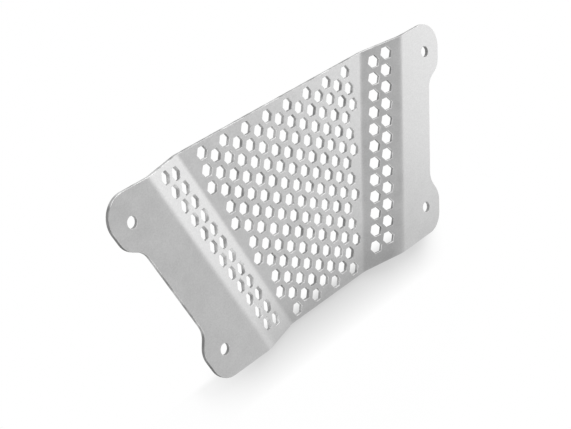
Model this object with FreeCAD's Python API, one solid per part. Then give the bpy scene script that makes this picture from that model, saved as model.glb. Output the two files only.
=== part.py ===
import FreeCAD, Part
import math
import os

# Engine guard grille: one aluminium sheet with a honeycomb of holes, folded twice on each side,
# so that the two flanges stand in front of the middle panel and a sloping strip joins them to it.
# Millimetres and degrees. +X is right, +Y is towards the wide edge, +Z is the front.
# The origin is on the rear face of the middle panel, at the middle of the plate.

# Sheet
sheet = 2.0                # thickness
plate_height = 103.8       # from the narrow edge to the wide edge

# Folds, on the sheet's middle surface. Offsets are square to the fold.
fold_lean = 20.0           # each fold leans out from the Y axis, going up
fold_angle = 18.7          # slope of the side strips
fold_radius = 11.0
inner_fold_offset = 44.8   # from the plate's centre to the inner fold
strip_width = 23.1         # from the inner fold to the outer fold, up the slope

# Side edge: two ears with a waist between them
side_offset = 97.2         # from the plate's centre to the ears' outer side
waist_depth = 7.5
shoulder_drop = 7.0        # from a screw hole to its ear's shoulder, along the fold
shoulder_turn = 44.0       # how far the shoulder turns in from the ear's side
corner_radius = 11.5
ear_radius = 10.0
waist_radius = 9.0

# Screw holes, one in each ear
screw_hole_diameter = 5.5
screw_edge_distance = 14.1   # from the top or bottom edge
screw_side_distance = 11.0   # from the ear's outer side

# Honeycomb of hexagonal holes
hole_pitch = 8.5
hole_flats = 5.9           # width across the flats
edge_land = 1.5            # least metal between a hole and the top or bottom edge
bend_land = 0.2            # least flat metal between a hole and a bend
strip_inset = 7.4          # from the inner fold to the strip's first column, up the slope
strip_shift = -1.25        # from the plate's centre to a hole of that column, along the fold

# Sizes that follow
half_height = plate_height / 2
mid_level = sheet / 2
strip_run = strip_width * math.cos(math.radians(fold_angle))
flange_rise = strip_width * math.sin(math.radians(fold_angle))
outer_fold_offset = inner_fold_offset + strip_run
flange_level = mid_level + flange_rise
bend_run = fold_radius * math.tan(math.radians(fold_angle) / 2)
hole_corner_radius = hole_flats / math.sqrt(3)
column_step = hole_pitch * math.sqrt(3) / 2
edge_limit = half_height - edge_land - hole_flats / 2
bend_limit = bend_run + bend_land + hole_corner_radius
cut_depth = 2 * sheet      # how far each cutter reaches on either side of the sheet
reach = 2 * (plate_height + side_offset)
turn_to_fold = FreeCAD.Rotation(FreeCAD.Vector(0, 0, 1), -fold_lean)


def plan_point(offset, along):
    """A point of the plan view, from its place square to and along the right-hand fold."""
    return turn_to_fold.multVec(FreeCAD.Vector(offset, along, 0))


def along_at(offset, y):
    """Where the line at this offset from the centre reaches this height."""
    lean = math.radians(fold_lean)
    return (y + offset * math.sin(lean)) / math.cos(lean)


def arc(centre, radius, start, end):
    """An arc in the XZ plane, from one angle to another."""
    def at(angle):
        turn = math.radians(angle)
        return centre + FreeCAD.Vector(radius * math.cos(turn), 0, radius * math.sin(turn))
    return Part.Arc(at(start), at((start + end) / 2), at(end)).toShape()


def surface_line(shift):
    """The folded sheet's middle line moved by shift towards the front, from the centre outwards."""
    inner_centre = FreeCAD.Vector(inner_fold_offset - bend_run, 0, mid_level + fold_radius)
    outer_centre = FreeCAD.Vector(outer_fold_offset + bend_run, 0, flange_level - fold_radius)
    inner_bend = arc(inner_centre, fold_radius - shift, 270, 270 + fold_angle)
    outer_bend = arc(outer_centre, fold_radius + shift, 90 + fold_angle, 90)
    start = FreeCAD.Vector(-reach, 0, mid_level + shift)
    end = FreeCAD.Vector(reach, 0, flange_level + shift)
    return [
        Part.makeLine(start, inner_bend.firstVertex().Point),
        inner_bend,
        Part.makeLine(inner_bend.lastVertex().Point, outer_bend.firstVertex().Point),
        outer_bend,
        Part.makeLine(outer_bend.lastVertex().Point, end),
    ]


def folded_sheet():
    """The right half of the folded sheet, before its outline is cut."""
    rear = surface_line(-sheet / 2)
    front = surface_line(sheet / 2)
    inner_end = Part.makeLine(rear[0].firstVertex().Point, front[0].firstVertex().Point)
    outer_end = Part.makeLine(rear[-1].lastVertex().Point, front[-1].lastVertex().Point)
    section = Part.Face(Part.Wire(Part.__sortEdges__(rear + front + [inner_end, outer_end])))
    section.translate(FreeCAD.Vector(0, -reach, 0))
    solid = section.extrude(FreeCAD.Vector(0, 2 * reach, 0))
    solid.Placement = FreeCAD.Placement(FreeCAD.Vector(), turn_to_fold)
    return solid


def rounded_outline(corners):
    """A closed wire through the corners, each given as a point and its radius."""
    edges = []
    ends = []
    for index, (point, radius) in enumerate(corners):
        before = (corners[index - 1][0] - point).normalize()
        after = (corners[(index + 1) % len(corners)][0] - point).normalize()
        half = before.getAngle(after) / 2
        middle = (before + after).normalize()
        start = point + before * (radius / math.tan(half))
        end = point + after * (radius / math.tan(half))
        if radius > 0:
            top = point + middle * (radius / math.sin(half) - radius)
            edges.append(Part.Arc(start, top, end).toShape())
        ends.append((start, end))
    for index, (start, end) in enumerate(ends):
        edges.append(Part.makeLine(end, ends[(index + 1) % len(ends)][0]))
    return Part.Wire(Part.__sortEdges__(edges))


def screw_along(side):
    """Place of a screw hole along the fold: side is 1 at the wide edge and -1 at the narrow one."""
    height = side * (half_height - screw_edge_distance)
    return along_at(side_offset - screw_side_distance, height)


def half_outline():
    """The plan outline of the plate's right half."""
    waist_offset = side_offset - waist_depth
    slope_run = waist_depth / math.tan(math.radians(shoulder_turn))
    corners = [(FreeCAD.Vector(0, half_height, 0), 0)]
    corners.append((plan_point(side_offset, along_at(side_offset, half_height)), corner_radius))
    upper_shoulder = screw_along(1) - shoulder_drop
    corners.append((plan_point(side_offset, upper_shoulder), ear_radius))
    corners.append((plan_point(waist_offset, upper_shoulder - slope_run), waist_radius))
    lower_shoulder = screw_along(-1) + shoulder_drop
    corners.append((plan_point(waist_offset, lower_shoulder + slope_run), waist_radius))
    corners.append((plan_point(side_offset, lower_shoulder), ear_radius))
    corners.append((plan_point(side_offset, along_at(side_offset, -half_height)), corner_radius))
    corners.append((FreeCAD.Vector(0, -half_height, 0), 0))
    return rounded_outline(corners)


def hexagon_cutter(turn):
    """A hexagonal prism across the sheet at the origin, with a corner at this angle from +X."""
    points = []
    for corner in range(7):
        angle = math.radians(turn + 60 * corner)
        x = hole_corner_radius * math.cos(angle)
        y = hole_corner_radius * math.sin(angle)
        points.append(FreeCAD.Vector(x, y, -cut_depth))
    return Part.Face(Part.makePolygon(points)).extrude(FreeCAD.Vector(0, 0, 2 * cut_depth))


def column_heights(shift, limit):
    """Steps of the hole pitch on both sides of zero, moved by shift, up to the limit each way."""
    steps = int(limit / hole_pitch) + 1
    heights = [shift + step * hole_pitch for step in range(-steps, steps + 1)]
    return [height for height in heights if abs(height) <= limit]


def middle_holes():
    """Cutters of the middle panel: columns a half pitch apart, up to the edges and the inner folds."""
    cutter = hexagon_cutter(0)
    holes = []
    columns = int(reach / column_step)
    for column in range(-columns, columns + 1):
        x = column * column_step
        for y in column_heights(column % 2 * hole_pitch / 2, edge_limit):
            offset = turn_to_fold.inverted().multVec(FreeCAD.Vector(abs(x), y, 0)).x
            if offset <= inner_fold_offset - bend_limit:
                hole = cutter.copy()
                hole.translate(FreeCAD.Vector(x, y, mid_level))
                holes.append(hole)
    return holes


def strip_holes():
    """Cutters of the right-hand strip, square to it, with the hexagons turned as in the flat sheet."""
    cutter = hexagon_cutter(fold_lean)
    slope = FreeCAD.Rotation(FreeCAD.Vector(0, 1, 0), -fold_angle)
    columns = int((strip_width - bend_limit - strip_inset) / column_step) + 1
    holes = []
    for column in range(columns):
        up_slope = strip_inset + column * column_step
        on_slope = slope.multVec(FreeCAD.Vector(up_slope, 0, 0))
        offset = inner_fold_offset + on_slope.x
        for along in column_heights(strip_shift + column % 2 * hole_pitch / 2, reach):
            if abs(plan_point(offset, along).y) <= edge_limit:
                centre = FreeCAD.Vector(offset, along, mid_level + on_slope.z)
                turn = FreeCAD.Placement(FreeCAD.Vector(), turn_to_fold)
                hole = cutter.copy()
                hole.Placement = turn.multiply(FreeCAD.Placement(centre, slope))
                holes.append(hole)
    return holes


def screw_holes():
    """Cutters of the two screw holes in the right-hand flange."""
    holes = []
    for side in (1, -1):
        centre = plan_point(side_offset - screw_side_distance, screw_along(side))
        centre.z = flange_level - cut_depth
        holes.append(Part.makeCylinder(screw_hole_diameter / 2, 2 * cut_depth, centre))
    return holes


def mirrored(shapes):
    """The same shapes on the left of the plate."""
    return [shape.mirror(FreeCAD.Vector(0, 0, 0), FreeCAD.Vector(1, 0, 0)) for shape in shapes]


def guard_plate():
    """The finished plate."""
    outline = Part.Face(half_outline())
    outline.translate(FreeCAD.Vector(0, 0, -cut_depth))
    right_half = folded_sheet().common(outline.extrude(FreeCAD.Vector(0, 0, flange_level + 2 * cut_depth)))
    plate = right_half.fuse(mirrored([right_half])).removeSplitter()
    side_cutters = strip_holes() + screw_holes()
    cutters = middle_holes() + side_cutters + mirrored(side_cutters)
    return plate.cut(cutters).Solids[0]


os.makedirs("parts", exist_ok=True)
guard_plate().exportStep("parts/guard_plate.step")
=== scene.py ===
import math

import bpy
from mathutils import Matrix, Vector

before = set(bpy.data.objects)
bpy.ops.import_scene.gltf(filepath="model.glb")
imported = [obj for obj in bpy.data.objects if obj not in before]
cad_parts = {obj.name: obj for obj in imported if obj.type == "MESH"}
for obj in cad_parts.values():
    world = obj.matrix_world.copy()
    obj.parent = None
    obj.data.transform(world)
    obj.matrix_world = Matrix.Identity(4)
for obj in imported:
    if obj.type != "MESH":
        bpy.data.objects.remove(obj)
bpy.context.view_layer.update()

# Camera, as the honeycomb's perspective in the photograph gives it. Metres and degrees.
camera_aim = Vector((-0.0112, -0.0020, 0.0))
camera_distance = 0.672
camera_bearing = 152.95      # from +X towards +Y
camera_elevation = 43.83
camera_roll = -93.71
camera_lens = 88.85          # millimetres, as is the sensor's width
sensor_width = 36.0
camera_clip = 0.01           # nothing nearer than this is drawn

# The plate's mesh. Metres and degrees.
weld_gap = 0.000002          # points of neighbouring faces within this are joined
flat_angle = 0.5             # faces that meet at less than this become one
edge_rounding = 0.00025
edge_steps = 2
edge_angle = 35.0            # edges where faces meet at more than this are rounded
flat_weight = 100            # how much the larger faces count in the shading

# Floor. Places are in metres from the plate's centre.
floor_size = 6.0
floor_gap = 0.00002          # keeps the floor just clear of the plate's rear face
floor_colour = 0.90
floor_seen = 0.72            # the floor's matt colour for the camera and for reflections
floor_share = 0.30           # its share in what they see beyond the narrow edge, the rest plain white
share_top = (-0.0535, -0.0505)     # Y from that share to plain white alone
share_reach = (0.14, 0.17)   # distance from that share to plain white alone
painted_shadow_depth = 0.35           # a soft painted shadow runs along the narrow edge, and this is its depth there
painted_shadow_fade = (-0.0765, -0.0520)    # Y from no shade to its full depth
painted_shadow_top = (-0.0425, -0.0515)     # Y from none to all of it, under the last row of holes
painted_shadow_left = (-0.090, -0.045)      # X from none to all of it
painted_shadow_right = (0.098, 0.068)

# Surround and lamps
horizon_light = 1.0
zenith_light = 0.70
light_rise = (0.57, 0.94)    # the upward part of a direction, from the one light to the other
key_place = Vector((0.50, 1.54, 1.18))       # its shadow falls beyond the plate's narrow edge
key_power = 21.0
key_size = (0.8, 0.8)
near_place = Vector((-0.85, -0.53, 1.12))    # lights the cut walls that face left and the narrow edge
near_power = 6.0
near_size = (0.8, 0.8)
side_place = Vector((0.526, 0.080, 0.278))   # the plate mirrors it, most on its right
side_power = 0.50
side_size = (0.62, 0.40)

# Satin aluminium. Tones are shares of the light that it sends back.
sheet_tone = 0.53
sheet_roughness = 0.33
painted_edge_shade = 0.80             # painted shade: the sheet's tone falls to this share at the narrow edge
painted_edge_shade_fade = (-0.050, -0.027)       # Y from that share to the full tone
painted_edge_shade_end = (0.066, 0.060)    # the flanges keep the full tone
fold_lean = 20.0             # the folds' lean out from the Y axis

# Its cut walls
cut_normal = (0.92, 0.75)    # the upward part of the normal, from sheet to wall
wall_tone = 0.35
painted_light_lean = (0.10, 0.25)     # painted light: the upward part of their normal from which walls are lighter
painted_light_lift = 1.6              # and by how much
ear_wall_painted_shade_tone = 0.15         # painted shade: the ears' outer sides are darker
ear_side = (0.0890, 0.0912)  # from the plate's centre, square to the folds
wall_roughness = 0.70
wall_metallic = 0.25

# Its grain. Each kind of noise has a scale and a detail.
cloud_noise = (150.0, 3.0)
streak_noise = (1500.0, 4.0)
streak_stretch = (0.10, 1, 1)      # draws the streaks out along X
speckle_noise = (1300.0, 3.0)
patch_noise = (180.0, 1.0)
noise_span = (0.3, 0.7)      # the noise's values that give the least and the most
cloud_depth = 0.015          # up and down from the sheet's tone
cloud_dulling = 0.03         # up and down from its roughness
streak_depth = 0.015         # up and down, as a share of the tone
speckle_depth = 0.06
patch_span = (0.35, 0.65)
patch_tones = (0.65, 1.35)   # shares of the walls' tone
streak_bump = (0.05, 0.00005)      # strength, and height in metres
speckle_bump = (0.10, 0.00003)

# Sockets of a Mix node that mixes colours
mix_factor = 0
mix_first = 6
mix_second = 7
mix_result = 2


def link_nodes(tree, pairs):
    """Joins (node, output) to (node, input) for each pair."""
    for (source, output), (target, socket) in pairs:
        tree.links.new(source.outputs[output], target.inputs[socket])


def new_material(name):
    """An empty node material, with its tree and its output node."""
    material = bpy.data.materials.new(name)
    material.use_nodes = True
    tree = material.node_tree
    tree.nodes.clear()
    return material, tree, tree.nodes.new("ShaderNodeOutputMaterial")


def noise(tree, coordinates, scale, detail, stretch=(1, 1, 1)):
    """Noise over the object's own coordinates, drawn out along the axes with a small stretch."""
    mapping = tree.nodes.new("ShaderNodeMapping")
    mapping.inputs["Scale"].default_value = stretch
    texture = tree.nodes.new("ShaderNodeTexNoise")
    texture.inputs["Scale"].default_value = scale
    texture.inputs["Detail"].default_value = detail
    link_nodes(tree, [
        ((coordinates, "Object"), (mapping, "Vector")),
        ((mapping, "Vector"), (texture, "Vector")),
    ])
    return texture


def bump(tree, texture, strength, height):
    """The relief that a noise makes."""
    relief = tree.nodes.new("ShaderNodeBump")
    relief.inputs["Strength"].default_value = strength
    relief.inputs["Distance"].default_value = height
    tree.links.new(texture.outputs["Fac"], relief.inputs["Height"])
    return relief


def split_axes(tree, source, output):
    """The X, Y and Z of a vector."""
    axes = tree.nodes.new("ShaderNodeSeparateXYZ")
    tree.links.new(source.outputs[output], axes.inputs["Vector"])
    return axes


def map_range(tree, source, output, low, high, to_low, to_high):
    """A value moved from one range to another."""
    node = tree.nodes.new("ShaderNodeMapRange")
    node.inputs["From Min"].default_value = low
    node.inputs["From Max"].default_value = high
    node.inputs["To Min"].default_value = to_low
    node.inputs["To Max"].default_value = to_high
    tree.links.new(source.outputs[output], node.inputs["Value"])
    return node


def grey(tree, value):
    """A grey of the given value node."""
    colour = tree.nodes.new("ShaderNodeCombineColor")
    for channel in ("Red", "Green", "Blue"):
        tree.links.new(value.outputs[0], colour.inputs[channel])
    return colour


def combine(tree, operation, first, second):
    """A math node on two values, each given as (node, output)."""
    node = tree.nodes.new("ShaderNodeMath")
    node.operation = operation
    link_nodes(tree, [(first, (node, 0)), (second, (node, 1))])
    return node


def multiply(tree, first, second):
    """The product of two value nodes."""
    return combine(tree, "MULTIPLY", (first, 0), (second, 0))


def fold_offset(tree, place):
    """The distance from the plate's centre, square to the folds, on either side."""
    aside = tree.nodes.new("ShaderNodeMath")
    aside.operation = "ABSOLUTE"
    across = tree.nodes.new("ShaderNodeMath")
    across.operation = "MULTIPLY"
    across.inputs[1].default_value = math.cos(math.radians(fold_lean))
    offset = tree.nodes.new("ShaderNodeMath")
    offset.operation = "MULTIPLY_ADD"
    offset.inputs[1].default_value = -math.sin(math.radians(fold_lean))
    link_nodes(tree, [
        ((place, "X"), (aside, 0)),
        ((aside, 0), (across, 0)),
        ((place, "Y"), (offset, 0)),
        ((across, 0), (offset, 2)),
    ])
    return offset


def face_tone(tree, place, offset, clouds, streaks, speckle):
    """The tone of the sheet's faces, with a painted shade towards the narrow edge."""
    # Soft clouds, fine streaks along the rolling direction and a finer speckle
    tones = (sheet_tone - cloud_depth, sheet_tone + cloud_depth)
    tone = map_range(tree, clouds, "Fac", *noise_span, *tones)
    for texture, depth in ((streaks, streak_depth), (speckle, speckle_depth)):
        part = map_range(tree, texture, "Fac", *noise_span, 1.0 - depth, 1.0 + depth)
        tone = multiply(tree, tone, part)

    # Painted shade: the middle and the strips are a little darker towards the narrow edge
    painted_edge_shade_ramp = map_range(tree, place, "Y", *painted_edge_shade_fade, 1.0 - painted_edge_shade, 0.0)
    inside = map_range(tree, offset, 0, *painted_edge_shade_end, 0.0, 1.0)
    painted_edge_shade_mask = multiply(tree, painted_edge_shade_ramp, inside)
    return multiply(tree, tone, map_range(tree, painted_edge_shade_mask, 0, 0.0, 1.0, 1.0, 0.0))


def cut_tone(tree, coordinates, normal, offset):
    """The tone of the cut walls, with painted shade on the ears' outer sides and painted light on
    walls that lean back.
    """
    # Each wall is a little lighter or darker than the next, at random
    patches = noise(tree, coordinates, *patch_noise)
    patched = map_range(tree, patches, "Fac", *patch_span, *patch_tones)
    # Painted shade: the ears' outer sides get a darker tone
    walls = map_range(tree, offset, 0, *ear_side, wall_tone, ear_wall_painted_shade_tone)
    wall = multiply(tree, walls, patched)

    # Painted light: walls that lean back, facing up, are lighter
    painted_light_leaning = map_range(tree, normal, "Z", *painted_light_lean, 1.0, painted_light_lift)
    return multiply(tree, wall, painted_light_leaning)


def sheet_material():
    """Satin aluminium sheet with a fine rolled grain, and matt cut walls."""
    material, tree, output = new_material("satin_aluminium")
    nodes = tree.nodes
    coordinates = nodes.new("ShaderNodeTexCoord")
    face = nodes.new("ShaderNodeBsdfPrincipled")
    link_nodes(tree, [((face, "BSDF"), (output, "Surface"))])

    # Cut walls stand square to the sheet, so their normals are nearly level
    geometry = nodes.new("ShaderNodeNewGeometry")
    normal = split_axes(tree, geometry, "Normal")
    upward = nodes.new("ShaderNodeMath")
    upward.operation = "ABSOLUTE"
    link_nodes(tree, [((normal, "Z"), (upward, 0))])
    cut = map_range(tree, upward, 0, *cut_normal, 0.0, 1.0)

    clouds = noise(tree, coordinates, *cloud_noise)
    streaks = noise(tree, coordinates, *streak_noise, streak_stretch)
    speckle = noise(tree, coordinates, *speckle_noise)
    place = split_axes(tree, coordinates, "Object")
    offset = fold_offset(tree, place)
    tone = face_tone(tree, place, offset, clouds, streaks, speckle)
    wall = cut_tone(tree, coordinates, normal, offset)
    mixed = nodes.new("ShaderNodeMix")
    mixed.data_type = "RGBA"
    metal = map_range(tree, cut, 0, 0.0, 1.0, 1.0, wall_metallic)

    dullness = (sheet_roughness - cloud_dulling, sheet_roughness + cloud_dulling)
    satin = map_range(tree, clouds, "Fac", *noise_span, *dullness)
    duller = map_range(tree, cut, 0, 0.0, 1.0, 0.0, wall_roughness - sheet_roughness)
    rough = combine(tree, "ADD", (satin, 0), (duller, 0))

    grain = bump(tree, streaks, *streak_bump)
    fine = bump(tree, speckle, *speckle_bump)
    link_nodes(tree, [
        ((cut, 0), (mixed, mix_factor)),
        ((grey(tree, tone), 0), (mixed, mix_first)),
        ((grey(tree, wall), 0), (mixed, mix_second)),
        ((mixed, mix_result), (face, "Base Color")),
        ((metal, 0), (face, "Metallic")),
        ((rough, 0), (face, "Roughness")),
        ((grain, "Normal"), (fine, "Normal")),
        ((fine, "Normal"), (face, "Normal")),
    ])
    return material


def finish_plate(plate, material):
    """Gives the plate its material, its slightly rounded edges and flat shading on its faces."""
    plate.data.materials.clear()
    plate.data.materials.append(material)
    join = plate.modifiers.new("join", "WELD")
    join.merge_threshold = weld_gap
    flatten = plate.modifiers.new("flatten", "DECIMATE")
    flatten.decimate_type = "DISSOLVE"
    flatten.angle_limit = math.radians(flat_angle)
    rounding = plate.modifiers.new("rounding", "BEVEL")
    rounding.width = edge_rounding
    rounding.segments = edge_steps
    rounding.limit_method = "ANGLE"
    rounding.angle_limit = math.radians(edge_angle)
    shading = plate.modifiers.new("shading", "WEIGHTED_NORMAL")
    shading.mode = "FACE_AREA"
    shading.weight = flat_weight


def floor_material():
    """Matt white that the camera and reflections see as plain white, but for a painted shadow at one
    edge.
    """
    material, tree, output = new_material("studio_white")
    nodes = tree.nodes
    matt = nodes.new("ShaderNodeBsdfDiffuse")
    matt.inputs["Color"].default_value = (floor_colour, floor_colour, floor_colour, 1)
    shaded = nodes.new("ShaderNodeBsdfDiffuse")
    white = nodes.new("ShaderNodeEmission")
    coordinates = nodes.new("ShaderNodeTexCoord")
    place = split_axes(tree, coordinates, "Object")

    # The plate's own shadow is seen only near the plate and beyond its narrow edge
    beyond = map_range(tree, place, "Y", *share_top, 1.0 - floor_share, 1.0)
    distance = nodes.new("ShaderNodeVectorMath")
    distance.operation = "LENGTH"
    link_nodes(tree, [((coordinates, "Object"), (distance, 0))])
    away = map_range(tree, distance, "Value", *share_reach, 1.0 - floor_share, 1.0)
    share = combine(tree, "MAXIMUM", (beyond, 0), (away, 0))

    # A soft painted shadow along the narrow edge, as wide as in the photograph
    depth = map_range(tree, place, "Y", *painted_shadow_fade, 0.0, painted_shadow_depth)
    for axis, ends in (("Y", painted_shadow_top), ("X", painted_shadow_left), ("X", painted_shadow_right)):
        part = map_range(tree, place, axis, *ends, 0.0, 1.0)
        part.interpolation_type = "SMOOTHSTEP"
        depth = multiply(tree, depth, part)
    painted_shadow_white = map_range(tree, depth, 0, 0.0, 1.0, 1.0, 0.0)
    painted_shadow_matt = map_range(tree, depth, 0, 0.0, 1.0, floor_seen, 0.0)

    path = nodes.new("ShaderNodeLightPath")
    direct = combine(tree, "MAXIMUM", (path, "Is Camera Ray"), (path, "Is Glossy Ray"))
    looking = combine(tree, "MAXIMUM", (direct, 0), (path, "Is Transmission Ray"))
    seen = nodes.new("ShaderNodeMixShader")
    mix = nodes.new("ShaderNodeMixShader")
    link_nodes(tree, [
        ((painted_shadow_white, 0), (white, "Strength")),
        ((grey(tree, painted_shadow_matt), 0), (shaded, "Color")),
        ((share, 0), (seen, 0)),
        ((shaded, 0), (seen, 1)),
        ((white, 0), (seen, 2)),
        ((looking, 0), (mix, 0)),
        ((matt, 0), (mix, 1)),
        ((seen, 0), (mix, 2)),
        ((mix, 0), (output, "Surface")),
    ])
    return material


def add_floor():
    """A plain white floor under the plate."""
    bpy.ops.mesh.primitive_plane_add(size=floor_size, location=(0, 0, -floor_gap))
    floor = bpy.context.object
    floor.name = "studio_floor"
    floor.data.materials.append(floor_material())


def add_world():
    """A pale surround: plain white from the floor up, and greyer overhead."""
    world = bpy.data.worlds.new("studio")
    bpy.context.scene.world = world
    world.use_nodes = True
    tree = world.node_tree
    tree.nodes.clear()
    nodes = tree.nodes
    output = nodes.new("ShaderNodeOutputWorld")
    coordinates = nodes.new("ShaderNodeTexCoord")
    direction = split_axes(tree, coordinates, "Generated")
    level = map_range(tree, direction, "Z", *light_rise, horizon_light, zenith_light)
    level.interpolation_type = "SMOOTHSTEP"
    surround = nodes.new("ShaderNodeBackground")
    surround.inputs["Color"].default_value = (1, 1, 1, 1)
    link_nodes(tree, [((level, 0), (surround, "Strength")), ((surround, 0), (output, "Surface"))])


def add_soft_box(name, place, power, size):
    """A rectangular soft box, given its width and height, that faces the plate."""
    light = bpy.data.lights.new(name, "AREA")
    light.shape = "RECTANGLE"
    light.energy = power
    light.size, light.size_y = size
    lamp = bpy.data.objects.new(name, light)
    lamp.location = place
    lamp.rotation_euler = (-place).to_track_quat("-Z", "Y").to_euler()
    bpy.context.scene.collection.objects.link(lamp)


def add_camera():
    """The camera, turned about its own axis as the photograph is."""
    bearing = math.radians(camera_bearing)
    elevation = math.radians(camera_elevation)
    level = Vector((math.cos(bearing), math.sin(bearing), 0))
    backward = level * math.cos(elevation) + Vector((0, 0, math.sin(elevation)))
    level_right = Vector((0, 0, 1)).cross(backward).normalized()
    level_up = backward.cross(level_right)
    roll = math.radians(camera_roll)
    up = level_up * math.cos(roll) + level_right * math.sin(roll)
    right = up.cross(backward)
    data = bpy.data.cameras.new("camera")
    data.lens = camera_lens
    data.sensor_width = sensor_width
    data.clip_start = camera_clip
    camera = bpy.data.objects.new("camera", data)
    turn = Matrix((right, up, backward)).transposed().to_4x4()
    camera.matrix_world = Matrix.Translation(camera_aim + backward * camera_distance) @ turn
    bpy.context.scene.collection.objects.link(camera)
    bpy.context.scene.camera = camera


finish_plate(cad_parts["guard_plate"], sheet_material())
add_floor()
add_world()
add_soft_box("key_light", key_place, key_power, key_size)
add_soft_box("near_light", near_place, near_power, near_size)
add_soft_box("side_light", side_place, side_power, side_size)
add_camera()
bpy.context.scene.view_settings.view_transform = "Standard"
